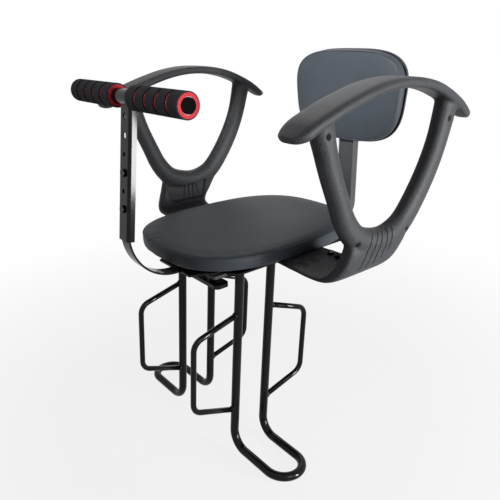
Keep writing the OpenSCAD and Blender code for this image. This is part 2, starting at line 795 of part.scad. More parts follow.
module post_nuts() {
    color("silver") at_post_bolts() translate([0, 0, post_t + strap_t])
        hex_nut(bolt_d, hex_flats, frame_nut_t);
}

module strap_bolts() {
    color("silver") for (y = strap_bolt_ys) translate([0, y, strap_z]) {
        translate([0, 0, -2]) cylinder(d = button_d, h = 2);
        cylinder(d = bolt_d, h = strap_t + plate_t + 6);
    }
}

module strap_nuts() {
    color("silver") for (y = strap_bolt_ys) translate([0, y, plate_top])
        hex_nut(bolt_d, hex_flats, frame_nut_t);
}

// The handlebar's own frame: its Z runs along X
module on_handlebar(side = 1) {
    translate([0, rail_bar_y, rail_bar_z]) rotate([0, side * 90, 0]) children();
}

module handlebar_tube() {
    color("#121315") on_handlebar() difference() {
        cylinder(d = tube_d, h = tube_l, center = true);
        cylinder(d = tube_d - 2 * tube_wall, h = tube_l + 2, center = true);
    }
}

module tube_plugs() {
    color("black") for (s = [-1, 1]) on_handlebar(s) {
        translate([0, 0, tube_l / 2 - 12]) cylinder(d = tube_d - 2 * tube_wall, h = 12);
        translate([0, 0, tube_l / 2]) cylinder(d = tube_d - 1, h = 1.2);
    }
}

grip_l = (tube_l - tube_bare) / 2;
grip_pitch = (grip_l - 2 + groove_w) / (grip_grooves + 1);

module grip_core(side) {
    color("red") on_handlebar(side) translate([0, 0, tube_bare / 2]) difference() {
        cylinder(d = grip_d - 2 * grip_skin, h = grip_l);
        translate([0, 0, -1]) cylinder(d = tube_d, h = grip_l + 2);
    }
}

module grip_skin(side) {
    color("#202124") on_handlebar(side) for (i = [0 : grip_grooves])
        translate([0, 0, tube_bare / 2 + 1 + i * grip_pitch]) difference() {
            cylinder(d = grip_d, h = grip_pitch - groove_w);
            translate([0, 0, -1]) cylinder(d = grip_d - 2 * grip_skin, h = grip_pitch + 2);
        }
}

// The hoop's own frame: its Z runs up, its origin is on the hoop's middle at the plate
module on_hoop(side) {
    on_side(side) translate([hoop_x, hoop_y, plate_z]) rotate([-hoop_lean, 0, 0]) children();
}

// Quarter bend of a tube from -Z to +X, starting at the origin
module toe_bend(d) {
    translate([toe_bend_r, 0, 0]) rotate([90, 0, 0]) rotate([0, 0, 180])
        rotate_extrude(angle = 90) translate([toe_bend_r, 0]) circle(d = d);
}

module footrest(side) {
    leg = hoop_h - toe_bend_r;
    run = toe_reach - toe_bend_r - hoop_w / 2 - hoop_d / 2;
    reach = hoop_x + toe_reach;
    color("#121315") difference() {
        on_hoop(side) {
            for (s = [-1, 1]) translate([0, s * hoop_w / 2, 0]) {
                translate([0, 0, -leg]) cylinder(d = hoop_d, h = leg + 8);
                translate([0, 0, -leg]) toe_bend(hoop_d);
                translate([toe_bend_r, 0, -hoop_h]) rotate([0, 90, 0]) cylinder(d = hoop_d, h = run);
            }
            translate([toe_bend_r + run, 0, -hoop_h]) rotate([0, 0, -90])
                rotate_extrude(angle = 180) translate([hoop_w / 2, 0]) circle(d = hoop_d);
        }
        translate([-reach, -reach, plate_z]) cube([2 * reach, 2 * reach, 3 * hoop_d]);
    }
}

// Path of a guard from its upper end on the leg to its lower one: distance from the leg, height
guard_turn = 90 - guard_slope;
guard_half = guard_h / 2 - guard_reach * tan(guard_slope) - guard_bend_r * tan(guard_turn / 2);
guard_path = concat(
    [[0, guard_h / 2]],
    [for (end = [1, -1], i = [0 : 6]) let (a = guard_turn * (end > 0 ? 1 - i / 6 : -i / 6))
        [guard_reach - guard_bend_r + guard_bend_r * cos(a), end * guard_half + guard_bend_r * sin(a)]],
    [[0, -guard_h / 2]]
);

// Ring of a round rod at index i of its path, in a plane that contains X
function rod_ring(path, i, d, sides = 14) =
    let (dir = run_dir(path, i))
    [for (k = [0 : sides - 1]) let (a = 360 * k / sides, c = d / 2 * cos(a), s = d / 2 * sin(a))
        [c, path[i][0] - dir[1] * s, path[i][1] + dir[0] * s]];

// Guard rod beside one leg of the hoop: two sloping arms and an upright, with round corners
module guard(side, way) {
    color("#121315") difference() {
        on_hoop(side) translate([0, way * hoop_w / 2, -guard_drop - guard_h / 2])
            rotate([0, 0, way < 0 ? 180 : 0])
            loft([for (i = [0 : len(guard_path) - 1]) rod_ring(guard_path, i, guard_d)]);
        on_hoop(side) translate([0, way * hoop_w / 2, -hoop_h]) cylinder(d = hoop_d, h = hoop_h);
    }
}

seat_cushion();
seat_board();
board_tee_nuts();
board_screws();
base_plate();
rail(1);  // rail_left
rail(-1);  // rail_right
rack_pad(1);  // rack_pad_left
rack_pad(-1);  // rack_pad_right
clamp_bar(clamp_front_y);  // clamp_bar_front
clamp_bar(clamp_rear_y);  // clamp_bar_rear
rack_bolts();
rack_washers();
rack_nuts();
arm(1);  // arm_left
arm(-1);  // arm_right
arm_bolts(1);  // arm_bolts_left
arm_bolts(-1);  // arm_bolts_right
backrest_cushion();
backrest_board();
backrest_cover();
backrest_bar();
backrest_sleeve();
backrest_bolts();
backrest_tee_nuts();
bar_bolts();
bar_nuts();
handrail_strap();
handrail_post();
post_bolts();
post_nuts();
strap_bolts();
strap_nuts();
handlebar_tube();
tube_plugs();
grip_core(1);  // grip_core_left
grip_core(-1);  // grip_core_right
grip_skin(1);  // grip_skin_left
grip_skin(-1);  // grip_skin_right
footrest(1);  // footrest_left
footrest(-1);  // footrest_right
guard(1, -1);  // guard_front_left
guard(1, 1);  // guard_rear_left
guard(-1, -1);  // guard_front_right
guard(-1, 1);  // guard_rear_right
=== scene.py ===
# %% [markdown]
# # A rear child bike seat
# The seat is clamped on a bicycle's rear rack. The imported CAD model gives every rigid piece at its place.
# Here the soft and moulded pieces are modelled again with more form, and every piece gets its finish.

# %% Load the frame
import json
import math

import bmesh
import bpy
from mathutils import Matrix, Vector


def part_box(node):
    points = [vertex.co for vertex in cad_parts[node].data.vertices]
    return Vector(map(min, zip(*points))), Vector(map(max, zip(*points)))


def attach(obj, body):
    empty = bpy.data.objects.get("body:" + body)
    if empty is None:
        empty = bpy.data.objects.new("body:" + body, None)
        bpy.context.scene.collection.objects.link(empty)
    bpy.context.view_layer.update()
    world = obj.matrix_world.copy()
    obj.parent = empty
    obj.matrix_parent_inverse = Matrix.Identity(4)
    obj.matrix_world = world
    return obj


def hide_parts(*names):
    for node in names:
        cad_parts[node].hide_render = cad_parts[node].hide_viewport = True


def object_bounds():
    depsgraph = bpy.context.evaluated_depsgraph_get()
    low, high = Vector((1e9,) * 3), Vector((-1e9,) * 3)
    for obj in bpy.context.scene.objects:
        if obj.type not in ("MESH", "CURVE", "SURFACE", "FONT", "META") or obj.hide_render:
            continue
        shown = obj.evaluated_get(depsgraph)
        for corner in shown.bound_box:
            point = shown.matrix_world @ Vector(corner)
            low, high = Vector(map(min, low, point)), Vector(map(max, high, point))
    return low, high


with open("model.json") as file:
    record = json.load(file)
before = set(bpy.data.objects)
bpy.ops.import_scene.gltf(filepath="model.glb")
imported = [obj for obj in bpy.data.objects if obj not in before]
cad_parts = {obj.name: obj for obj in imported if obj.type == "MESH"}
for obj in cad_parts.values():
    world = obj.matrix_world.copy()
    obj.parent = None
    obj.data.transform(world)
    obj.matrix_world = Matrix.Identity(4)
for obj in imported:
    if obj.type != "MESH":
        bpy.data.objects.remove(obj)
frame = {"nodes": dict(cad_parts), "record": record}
nodes = frame["nodes"]
cad_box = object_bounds()
print("nodes:", len(nodes))

# %% [markdown]
# ## Camera
# A photograph fixes where its camera stood. Place, heading, tilt and focal length were solved from points
# whose places on the model are known, so they are written here as they came out. The small shift puts the
# lens's axis where the solution has it, a few pixels from the middle of the frame.

# %% Camera
CAMERA_PLACE = Vector((0.66997, -0.53526, 0.33502))
HEADING, TILT, ROLL = math.radians(51.648), math.radians(21.907), math.radians(-1.215)
FOCAL_PX, FRAME_PX = 546.18, 500
AXIS_PX = (245.88, 254.43)
SENSOR_MM = 36

forward = Vector((-math.sin(HEADING) * math.cos(TILT), math.cos(HEADING) * math.cos(TILT), -math.sin(TILT)))
level_right = Vector((math.cos(HEADING), math.sin(HEADING), 0))
level_up = level_right.cross(forward)
right = math.cos(ROLL) * level_right + math.sin(ROLL) * level_up
up = -math.sin(ROLL) * level_right + math.cos(ROLL) * level_up

camera_data = bpy.data.cameras.new("camera")
camera_data.sensor_width = SENSOR_MM
camera_data.lens = FOCAL_PX / FRAME_PX * SENSOR_MM
camera_data.shift_x = (FRAME_PX / 2 - AXIS_PX[0]) / FRAME_PX
camera_data.shift_y = (AXIS_PX[1] - FRAME_PX / 2) / FRAME_PX
camera = bpy.data.objects.new("camera", camera_data)
camera.matrix_world = Matrix.Translation(CAMERA_PLACE) @ Matrix((right, up, -forward)).transposed().to_4x4()
bpy.context.scene.collection.objects.link(camera)
bpy.context.scene.camera = camera
print("lens:", round(camera_data.lens, 2), "mm")

# %% [markdown]
# ## Finishes
# Each finish is a node material. A fine pattern on Object coordinates drives the bump, at the scale of the
# real surface: the skin of the cover, the grain that a mould leaves, the cells of foam. A broad one varies
# the colour and the roughness a little. Object coordinates are metres here, so a scale of 1000 is a pattern
# of about one millimetre.


# %% A finish with a grain
BUMP_HEIGHT, COAT_ROUGHNESS = 0.0004, 0.12


def finish(name, colour, roughness, grain, depth, metallic=0.0, coat=0.0, shine=0.5, spread=0.06,
           tint=0.12, patch=28, cells=False):
    material = bpy.data.materials.new(name)
    material.use_nodes = True
    tree = material.node_tree
    shader = tree.nodes["Principled BSDF"]
    shader.inputs["Metallic"].default_value = metallic
    shader.inputs["Coat Weight"].default_value = coat
    shader.inputs["Specular IOR Level"].default_value = shine
    shader.inputs["Coat Roughness"].default_value = COAT_ROUGHNESS
    place = tree.nodes.new("ShaderNodeTexCoord")

    fine = tree.nodes.new("ShaderNodeTexVoronoi" if cells else "ShaderNodeTexNoise")
    fine.inputs["Scale"].default_value = grain
    tree.links.new(place.outputs["Object"], fine.inputs["Vector"])
    bump = tree.nodes.new("ShaderNodeBump")
    bump.inputs["Strength"].default_value = depth
    bump.inputs["Distance"].default_value = BUMP_HEIGHT
    tree.links.new(fine.outputs["Distance" if cells else "Fac"], bump.inputs["Height"])
    tree.links.new(bump.outputs["Normal"], shader.inputs["Normal"])

    broad = tree.nodes.new("ShaderNodeTexNoise")
    broad.inputs["Scale"].default_value = patch
    broad.inputs["Detail"].default_value = 5
    tree.links.new(place.outputs["Object"], broad.inputs["Vector"])
    shade = tree.nodes.new("ShaderNodeValToRGB")
    shade.color_ramp.elements[0].position, shade.color_ramp.elements[1].position = 0.3, 0.7
    shade.color_ramp.elements[0].color = (*[c * (1 - tint) for c in colour], 1)
    shade.color_ramp.elements[1].color = (*[min(1, c * (1 + tint)) for c in colour], 1)
    tree.links.new(broad.outputs["Fac"], shade.inputs["Fac"])
    tree.links.new(shade.outputs["Color"], shader.inputs["Base Color"])

    polish = tree.nodes.new("ShaderNodeMapRange")
    polish.inputs["To Min"].default_value = roughness - spread
    polish.inputs["To Max"].default_value = roughness + spread
    tree.links.new(broad.outputs["Fac"], polish.inputs["Value"])
    tree.links.new(polish.outputs["Result"], shader.inputs["Roughness"])
    return material


# %% [markdown]
# ## The finishes of this seat
# The cover is a smooth soft skin with a faint grain, the arms are moulded with a spark-eroded grain, and the
# tubes and sheet are coated with a gloss powder whose surface ripples like orange peel.

# %% Materials
cover_skin = finish("cover_skin", (0.029, 0.034, 0.041), 0.50, 1500, 0.22, shine=0.14, spread=0.04,
                    tint=0.06, cells=True)
arm_grain = finish("arm_grain", (0.027, 0.028, 0.031), 0.46, 1300, 0.6, shine=0.14, tint=0.35, patch=420)
satin_plastic = finish("satin_plastic", (0.024, 0.025, 0.028), 0.42, 900, 0.25, shine=0.4, tint=0.08)
gloss_coat = finish("gloss_coat", (0.003, 0.003, 0.004), 0.12, 260, 0.06, coat=0.15, shine=0.08, spread=0.03)
pad_rubber = finish("pad_rubber", (0.016, 0.016, 0.016), 0.75, 700, 0.4)
red_foam = finish("red_foam", (0.38, 0.030, 0.038), 0.78, 1100, 0.55, shine=0.1, cells=True)
black_foam = finish("black_foam", (0.018, 0.018, 0.021), 0.85, 1100, 0.9, shine=0.05, tint=0.4, patch=600,
                    cells=True)
# Near-black and almost without shine, darker than any plastic: painted shade for the dark inside of the open
# tube ends, used on the end cups below.
cup_black_and_painted_hole_shade = finish("cup_black_and_painted_hole_shade", (0.002, 0.002, 0.002), 0.85, 500, 0.3, shine=0.03)
zinc = finish("zinc", (0.55, 0.56, 0.57), 0.34, 600, 0.15, metallic=1.0, spread=0.08)

# %% [markdown]
# Plywood shows thin layers on its edge and a long grain on its faces. One wave pattern gives both: it is
# stretched along the seat for the grain, and packed tight across the thickness for the layers.


# %% Plywood
GRAIN_STRETCH = (60, 6, 700)


def plywood_finish():
    material = finish("plywood", (0.50, 0.36, 0.22), 0.62, 500, 0.3)
    tree = material.node_tree
    shader = tree.nodes["Principled BSDF"]
    place = tree.nodes.new("ShaderNodeTexCoord")
    stretch = tree.nodes.new("ShaderNodeMapping")
    stretch.inputs["Scale"].default_value = GRAIN_STRETCH
    tree.links.new(place.outputs["Object"], stretch.inputs["Vector"])
    layers = tree.nodes.new("ShaderNodeTexWave")
    layers.bands_direction = "Z"
    layers.inputs["Scale"].default_value = 0.25
    layers.inputs["Distortion"].default_value = 2.5
    tree.links.new(stretch.outputs["Vector"], layers.inputs["Vector"])
    tone = tree.nodes.new("ShaderNodeValToRGB")
    tone.color_ramp.elements[0].color = (0.30, 0.19, 0.10, 1)
    tone.color_ramp.elements[1].color = (0.58, 0.43, 0.27, 1)
    tree.links.new(layers.outputs["Fac"], tone.inputs["Fac"])
    tree.links.new(tone.outputs["Color"], shader.inputs["Base Color"])
    return material


plywood = plywood_finish()
print("materials:", len(bpy.data.materials))

# %% [markdown]
# ## Rigid pieces keep their CAD shape
# Tubes, sheet, bolts and boards are right as they come, so they only take a finish. A node that is modelled
# again further down is hidden when its new piece replaces it.

# %% Give each CAD node its finish
FINISH_OF_SLOT = {
    "cover_leather": cover_skin, "plywood": plywood, "arm_plastic": arm_grain, "black_plastic": satin_plastic,
    "pad_rubber": pad_rubber, "red_foam": red_foam, "black_foam": black_foam, "zinc_steel": zinc,
    "black_paint": gloss_coat,
}
for part in frame["record"]["subparts"]:
    mesh = nodes[part["node"]].data
    mesh.materials.clear()
    mesh.materials.append(FINISH_OF_SLOT[part["material_slot"]])

# %% [markdown]
# ## From a bmesh to a piece
# Every new piece ends the same way: its faces point outwards, its object stays at the origin, and it rides on
# the frame's one body.


# %% Make a piece
def piece_from(shape, name, material, replaces=(), smooth=True):
    bmesh.ops.recalc_face_normals(shape, faces=shape.faces)
    mesh = bpy.data.meshes.new(name)
    shape.to_mesh(mesh)
    shape.free()
    mesh.materials.append(material)
    for face in mesh.polygons:
        face.use_smooth = smooth
    made = bpy.data.objects.new(name, mesh)
    bpy.context.scene.collection.objects.link(made)
    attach(made, "root")
    if replaces:
        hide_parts(*replaces)
    return made


# %% [markdown]
# A modifier is applied by reading the evaluated mesh back, which works the same with and without a window.


# %% Apply what is on a piece
def bake_modifiers(piece):
    graph = bpy.context.evaluated_depsgraph_get()
    baked = bpy.data.meshes.new_from_object(piece.evaluated_get(graph))
    material = piece.data.materials[0]
    piece.modifiers.clear()
    piece.data = baked
    if not baked.materials:
        baked.materials.append(material)
    for face in baked.polygons:
        face.use_smooth = True
    return piece


# %% [markdown]
# ## Cushions
# The seat and the backrest are foam on a board under a tight sewn cover. A circle is drawn out into a stack
# of rings, and each ring is squared into a superellipse of its own size, so the slab gets its rounded edge
# and crown. Cloth with a little pressure then swells it as foam does, with the part on the board held still.
# The swelling is capped, so the pad keeps its size.


# %% Square a circle into an outline
TAPER_LEVEL = 0.45


def squared(verts, half_a, half_b, power, taper=0.0):
    for v in verts:
        reach = (abs(v.co.x) ** power + abs(v.co.y) ** power) ** (1 / power)
        v.co.x, v.co.y = half_a * v.co.x / reach, half_b * v.co.y / reach
        v.co.x *= (1 + taper * v.co.y / half_b) / (1 + taper * TAPER_LEVEL)


# %% A slab whose outline changes from level to level
def padded_slab(levels, power, taper=0.0, steps=240):
    shape = bmesh.new()
    rings = [bmesh.ops.create_circle(shape, cap_ends=False, segments=steps, radius=1)["verts"]]
    edges = shape.edges[:]
    for _ in levels[1:]:
        drawn = bmesh.ops.extrude_edge_only(shape, edges=edges)["geom"]
        edges = [g for g in drawn if isinstance(g, bmesh.types.BMEdge)]
        rings.append([g for g in drawn if isinstance(g, bmesh.types.BMVert)])
    for ring, (half_a, half_b, height) in zip(rings, levels):
        squared(ring, half_a, half_b, power, taper)
        bmesh.ops.translate(shape, verts=ring, vec=(0, 0, height))
    bmesh.ops.holes_fill(shape, edges=shape.edges, sides=0)
    return shape


# %% Swell a pad
PAD_VOXEL, FOAM_PRESSURE, CLOTH_FRAMES = 0.003, 1.2, 20


def swell(piece, held, cap):
    remesh = piece.modifiers.new("even_skin", "REMESH")
    remesh.mode, remesh.voxel_size = "VOXEL", PAD_VOXEL
    bake_modifiers(piece)
    before = [v.co.copy() for v in piece.data.vertices]
    group = piece.vertex_groups.new(name="held")
    group.add([i for i, co in enumerate(before) if held(co)], 1.0, "REPLACE")
    cloth = piece.modifiers.new("foam", "CLOTH")
    cloth.settings.use_pressure = True
    cloth.settings.uniform_pressure_force = FOAM_PRESSURE
    cloth.settings.tension_stiffness = cloth.settings.compression_stiffness = 60
    cloth.settings.shear_stiffness = 40
    cloth.settings.bending_stiffness = 8
    cloth.settings.vertex_group_mass = "held"
    cloth.settings.effector_weights.gravity = 0
    cloth.point_cache.frame_start, cloth.point_cache.frame_end = 1, CLOTH_FRAMES
    for step in range(1, CLOTH_FRAMES + 1):
        bpy.context.scene.frame_set(step)
    bake_modifiers(piece)
    for v, start in zip(piece.data.vertices, before):
        moved = v.co - start
        if moved.length > cap:
            v.co = start + moved * (cap / moved.length)
    bpy.context.scene.frame_set(1)
    settle = piece.modifiers.new("settle", "SMOOTH")
    settle.factor, settle.iterations = 0.5, 3
    soft = piece.modifiers.new("soft", "SUBSURF")
    soft.levels = soft.render_levels = 1
    bake_modifiers(piece)
    return piece


# %% Give a pad back the size that settling took
def fit_to(piece, low, high):
    corners = [Vector(c) for c in piece.bound_box]
    small = [min(c[k] for c in corners) for k in range(3)]
    large = [max(c[k] for c in corners) for k in range(3)]
    for v in piece.data.vertices:
        for k in range(3):
            v.co[k] = low[k] + (v.co[k] - small[k]) * (high[k] - low[k]) / (large[k] - small[k])


print("pads ready")

# %% [markdown]
# ## Seat cushion
# Nearly flat on top, with a crisp edge all round. It is 6 mm smaller on each side than the CAD solid,
# because the seat in the photograph is smaller than that solid. The board lies in a recess underneath, so
# the lowest part is held while the rest swells.

# %% Seat cushion
low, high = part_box("seat_cushion")
SEAT_IN, SEAT_POWER, SEAT_CROWN, SEAT_CAP = 0.006, 2.75, 0.0025, 0.0012
SEAT_EDGE, SEAT_HELD = 0.006, 0.006
half_w, half_d = (high.x - low.x) / 2 - SEAT_IN, (high.y - low.y) / 2 - SEAT_IN
edge_z = high.z - SEAT_EDGE
seat_shape = padded_slab([
    (half_w - 0.001, half_d - 0.001, low.z + 0.0006), (half_w, half_d, low.z + 0.006),
    (half_w, half_d, edge_z - 0.004), (half_w - 0.001, half_d - 0.001, edge_z - 0.001),
    (half_w - 0.004, half_d - 0.004, edge_z + 0.0012), (half_w - 0.03, half_d - 0.035, edge_z + 0.0016),
], SEAT_POWER)
seat_cushion = piece_from(seat_shape, "seat_cushion_pad", cover_skin, ["seat_cushion"])
swell(seat_cushion, lambda co: co.z < low.z + SEAT_HELD, SEAT_CAP)
fit_to(seat_cushion, (-half_w, -half_d, low.z), (half_w, half_d, edge_z + SEAT_CROWN))
print("seat cushion:", len(seat_cushion.data.polygons), "faces")

# %% [markdown]
# The board fills the recess in the real foam. The pad is one closed form here, so the recess is cut from it
# with a slab of the board's own outline, a hair larger.


# %% Cut one shape from another
def carve(piece, cutter):
    cut = piece.modifiers.new("cut", "BOOLEAN")
    cut.operation, cut.solver, cut.object = "DIFFERENCE", "EXACT", cutter
    bake_modifiers(piece)
    bpy.data.objects.remove(cutter)
    return piece


def loose(shape, name="cutter"):
    bmesh.ops.recalc_face_normals(shape, faces=shape.faces)
    mesh = bpy.data.meshes.new(name)
    shape.to_mesh(mesh)
    shape.free()
    made = bpy.data.objects.new(name, mesh)
    bpy.context.scene.collection.objects.link(made)
    return made


GAP, OVERCUT = 0.0004, 0.01
board_low, board_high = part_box("seat_board")
recess = padded_slab([
    (board_high.x + GAP, board_high.y + GAP, board_low.z - OVERCUT),
    (board_high.x + GAP, board_high.y + GAP, board_high.z + GAP),
], SEAT_POWER)
carve(seat_cushion, loose(recess))
print("seat box:", [round(c, 4) for c in seat_cushion.dimensions])

# %% [markdown]
# The cover is folded over a welt at its edge, and the fold catches the light as a thin line all round. Its
# place is found by looking at the pad from outside at the fold's height. A thin tube of bridged rings
# follows it.


# %% A welt round a pad
LOOK_FROM = 0.05


def welt(name, piece, line, middle, radius):
    found = []
    for point in line:
        inward = (middle - point).normalized()
        struck, place, _, _ = piece.ray_cast(point - inward * LOOK_FROM, inward)
        if struck:
            found.append(place)
    shape = bmesh.new()
    rings = []
    for i, place in enumerate(found):
        along = (found[(i + 1) % len(found)] - found[i - 1]).normalized()
        turn = Vector((0, 0, 1)).rotation_difference(along).to_matrix().to_4x4()
        ring = bmesh.ops.create_circle(shape, cap_ends=False, segments=8, radius=radius,
                                       matrix=Matrix.Translation(place) @ turn)["verts"]
        rings.append({e for v in ring for e in v.link_edges})
    for i, ring in enumerate(rings):
        bmesh.ops.bridge_loops(shape, edges=list(ring | rings[(i + 1) % len(rings)]))
    return piece_from(shape, name, cover_skin)


def outline_points(half_a, half_b, power, taper=0.0, steps=180):
    shape = bmesh.new()
    verts = bmesh.ops.create_circle(shape, cap_ends=False, segments=steps, radius=1)["verts"]
    squared(verts, half_a, half_b, power, taper)
    points = [v.co.copy() for v in verts]
    shape.free()
    return points


SEAT_FOLD, SEAT_WELT_R = 0.0022, 0.0014
fold_z = edge_z - SEAT_FOLD
seat_line = [Vector((p.x, p.y, fold_z)) for p in outline_points(half_w, half_d, SEAT_POWER)]
seat_welt = welt("seat_edge_welt", seat_cushion, seat_line, Vector((0, 0, fold_z)), SEAT_WELT_R)
print("seat welt:", len(seat_welt.data.polygons), "faces")

# %% [markdown]
# ## Backrest cushion
# It is made lying down in the same way, and stood up with one turn once it has its outline. The face is
# gently crowned and its corners are large and round. It is a little larger than the CAD solid, as in the
# photograph.

# %% Backrest cushion
low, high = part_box("backrest_cushion")
BACK_POWER, BACK_TAPER, BACK_PROUD, BACK_CAP = 3.3, 0.07, 0.0045, 0.0015
BACK_HELD, BACK_FOLD, BACK_WELT_R = 0.004, 0.016, 0.0012
back_a = (high.x - low.x) / 2 + BACK_PROUD
back_h = (high.z - low.z) / 2 + BACK_PROUD
back_mid = (high.z + low.z) / 2
depth = high.y - low.y
QUARTER = math.pi / 2


def stood_up(shape):
    bmesh.ops.rotate(shape, verts=shape.verts, cent=(0, 0, 0), matrix=Matrix.Rotation(QUARTER, 3, "X"))
    bmesh.ops.translate(shape, verts=shape.verts, vec=(0, high.y, back_mid))
    return shape


back_shape = stood_up(padded_slab([
    (back_a - 0.004, back_h - 0.004, 0.0005), (back_a, back_h, 0.006),
    (back_a, back_h, 0.012), (back_a - 0.003, back_h - 0.003, 0.017),
    (back_a - 0.018, back_h - 0.016, depth - 0.005), (back_a - 0.042, back_h - 0.037, depth - 0.002),
], BACK_POWER, BACK_TAPER))
backrest = piece_from(back_shape, "backrest_pad", cover_skin, ["backrest_cushion"])
swell(backrest, lambda co: co.y > high.y - BACK_HELD, BACK_CAP)
fit_to(backrest, (-back_a, low.y, back_mid - back_h), (back_a, high.y, back_mid + back_h))
board_low, board_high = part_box("backrest_board")
board_a, board_h = board_high.x + GAP, (board_high.z - board_low.z) / 2 + GAP
back_recess = stood_up(padded_slab([
    (board_a, board_h, -OVERCUT),
    (board_a, board_h, high.y - board_low.y + GAP),
], BACK_POWER, BACK_TAPER))
carve(backrest, loose(back_recess))
fold_y = high.y - BACK_FOLD
back_outline = outline_points(back_a, back_h, BACK_POWER, BACK_TAPER)
back_line = [Vector((p.x, fold_y, back_mid + p.y)) for p in back_outline]
back_welt = welt("backrest_edge_welt", backrest, back_line, Vector((0, fold_y, back_mid)), BACK_WELT_R)
print("backrest:", len(backrest.data.polygons), "faces, welt:", len(back_welt.data.polygons))

# %% [markdown]
# ## Rear shell
# The backrest's rear is a moulded dish, a little larger than the pad, so that its rim shows as a dark line
# beside the cushion. It is hollow over the board and the bolts, with a mouth below for the bar and its
# sleeve. The profile runs from the flat of its back over the rim and in again, as (inset, depth).

# %% Rear shell
SHELL_PROUD, SHELL_DEPTH = 0.0015, 0.013
MOUTH_DEEP, MOUTH_TALL, SHARP_FROM = 0.022, 0.024, math.radians(35)
shell_a, shell_h = back_a + SHELL_PROUD, back_h + SHELL_PROUD
SHELL_PROFILE = [
    (0.034, -SHELL_DEPTH), (0.018, -SHELL_DEPTH + 0.0006), (0.008, -SHELL_DEPTH + 0.0030),
    (0.003, -SHELL_DEPTH + 0.0062), (0.0008, -0.0045), (0, -0.0028), (0, -0.0004),
    (0.0020, -0.0004), (0.0032, -0.0040), (0.0100, -0.0088), (0.0240, -0.0110),
]
shell_levels = [(shell_a - inset, shell_h - inset, back) for inset, back in SHELL_PROFILE]
shell_shape = stood_up(padded_slab(shell_levels, BACK_POWER, BACK_TAPER))
shell = piece_from(shell_shape, "backrest_shell", satin_plastic, ["backrest_cover"])
sleeve_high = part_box("backrest_sleeve")[1]
mouth = bmesh.new()
bmesh.ops.create_cube(mouth, size=1)
bmesh.ops.scale(mouth, verts=mouth.verts, vec=(2 * sleeve_high.x + 2 * GAP, MOUTH_DEEP, MOUTH_TALL))
bmesh.ops.translate(mouth, verts=mouth.verts, vec=(0, high.y, back_mid - shell_h))
carve(shell, loose(mouth))
shell.data.set_sharp_from_angle(angle=SHARP_FROM)
print("shell:", len(shell.data.polygons), "faces")

# %% [markdown]
# ## Armrests
# Each armrest is one moulding, and its most telling feature is how the legs run into the loop, the top and
# the foot without an edge. A copy of the CAD solid is merged, given an even skin, and relaxed, so that the
# joints between its runs fillet themselves as a mould's do. Its front tip is drawn out a little, because the
# tip in the photograph is longer than the CAD's. The fine cuts come after, so that they stay crisp.


# %% Even skin over a copy of an armrest
TIP_Y, TIP_Z, TIP_STRETCH = -0.08, 0.2, 0.18
ARM_VOXEL, MERGE = 0.0020, 0.00002


def relaxed_arm(side, node):
    shape = bmesh.new()
    shape.from_mesh(nodes[node].data)
    bmesh.ops.remove_doubles(shape, verts=shape.verts, dist=MERGE)
    for v in shape.verts:
        if v.co.y < TIP_Y and v.co.z > TIP_Z:
            v.co.y += (v.co.y - TIP_Y) * TIP_STRETCH
    arm = piece_from(shape, "armrest_" + side, arm_grain, [node])
    skin = arm.modifiers.new("skin", "REMESH")
    skin.mode, skin.voxel_size = "VOXEL", ARM_VOXEL
    relax = arm.modifiers.new("relax", "CORRECTIVE_SMOOTH")
    relax.use_only_smooth, relax.iterations, relax.factor = True, 4, 0.5
    return bake_modifiers(arm)


# %% [markdown]
# The outer face carries five thin grooves that fan out over the foot, and four blind screw holes. The inner
# face has four shorter ones, much shallower. A groove is a row of flat boxes laid along its line on the
# surface, and a hole is a short cylinder. All are joined into one cutter. The lines and the holes are given
# as (y, z) in millimetres.

# %% Grooves and holes
GROOVES = [
    ((16, 88), (-2, 37)), ((28, 87), (12, 40)), ((38, 88), (26, 42)),
    ((49, 89), (41, 47)), ((59, 89), (53, 56)),
]
INNER_GROOVES = [((22, 62), (20, 40)), ((31, 64), (31, 38)), ((40, 64), (42, 38)), ((49, 62), (53, 40))]
HOLES = [(-75.8, 226.3), (166.4, 222.5), (-12, 79.6), (90.1, 77.7)]
GROOVE_W, GROOVE_DEPTH, INNER_DEPTH, HOLE_R, HOLE_DEPTH = 0.0022, 0.0028, 0.0008, 0.0039, 0.012
GROOVE_STEPS, BOX_OVERLAP = 8, 1.15
OUTSIDE, WALL_AT = 0.4, (0.035, 0.052)


def face_x(arm, start, heading, y, z):
    found, place, _, _ = arm.ray_cast(Vector((start, y, z)), Vector((heading, 0, 0)))
    return place.x if found else None


def groove_boxes(cutter, arm, start, heading, lines, depth):
    count = 0
    for (y0, z0), (y1, z1) in lines:
        run = Vector((0, y1 - y0, z1 - z0)) / 1000 / GROOVE_STEPS
        turn = Matrix.Rotation(-math.atan2(run.y, run.z), 3, "X")
        for i in range(GROOVE_STEPS):
            middle = Vector((0, y0, z0)) / 1000 + run * (i + 0.5)
            x = face_x(arm, start, heading, middle.y, middle.z)
            if x is None:
                continue
            box = bmesh.ops.create_cube(cutter, size=1)["verts"]
            bmesh.ops.scale(cutter, vec=(depth * 2, GROOVE_W, run.length * BOX_OVERLAP), verts=box)
            bmesh.ops.rotate(cutter, verts=box, cent=(0, 0, 0), matrix=turn)
            bmesh.ops.translate(cutter, verts=box, vec=(x, middle.y, middle.z))
            count += 1
    return count


